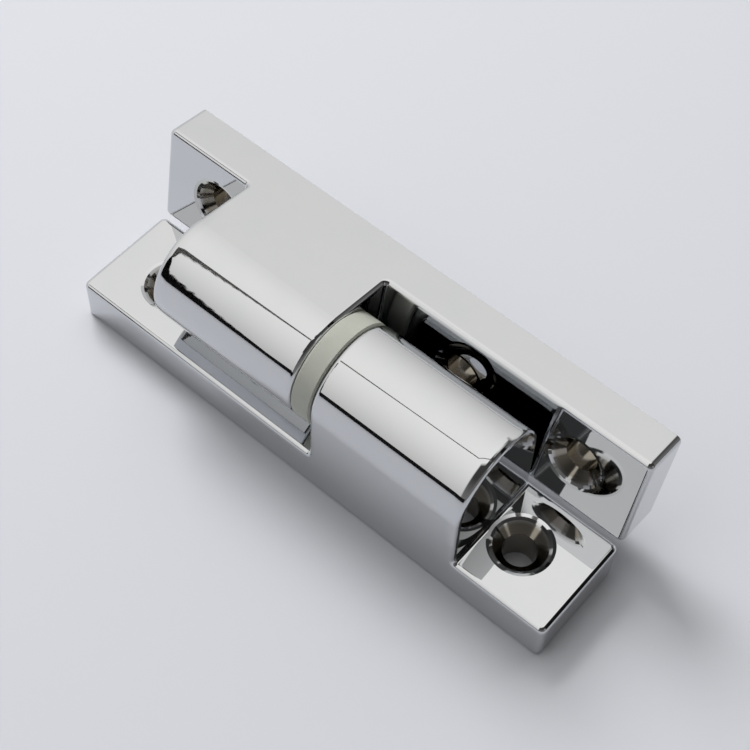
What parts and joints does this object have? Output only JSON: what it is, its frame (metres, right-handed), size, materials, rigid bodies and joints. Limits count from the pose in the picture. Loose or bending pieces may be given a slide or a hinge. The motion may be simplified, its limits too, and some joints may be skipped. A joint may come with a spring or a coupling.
{
  "type": "lift-off cabinet hinge",
  "caption": "Chromed die-cast lift-off hinge: matching leaves with full-width round knuckles turn on a steel pin over a plastic thrust washer, and the door leaf slides off the pin.",
  "frame": {"origin": "middle of the frame leaf's mounting face, straight under the middle of the pin", "axes": "+X along the pin towards the frame leaf's knuckle, +Z from the frame leaf's mounting face towards the pin, +Y towards the door leaf as it stands at rest"},
  "size_m": [0.1, 0.0317, 0.0305],
  "materials": {
    "chrome_plate": "polished chrome plating on zinc",
    "pin_steel": "ground steel",
    "washer_plastic": "natural moulded plastic"
  },
  "bodies": {
    "frame": {"frame_leaf": "chrome_plate", "hinge_pin": "pin_steel"},
    "washer": {"thrust_washer": "washer_plastic"},
    "door": {"door_leaf": "chrome_plate"}
  },
  "joints": [
    {"name": "swing", "type": "hinge", "parent": "frame", "child": "washer", "pos_m": [0, 0, 0.0205], "axis": [1, 0, 0], "range_deg": [-1.5, 199.5]},
    {"name": "lift_off", "type": "slide", "parent": "washer", "child": "door", "axis": [-1, 0, 0], "range_m": [0, 0.05]}
  ]
}
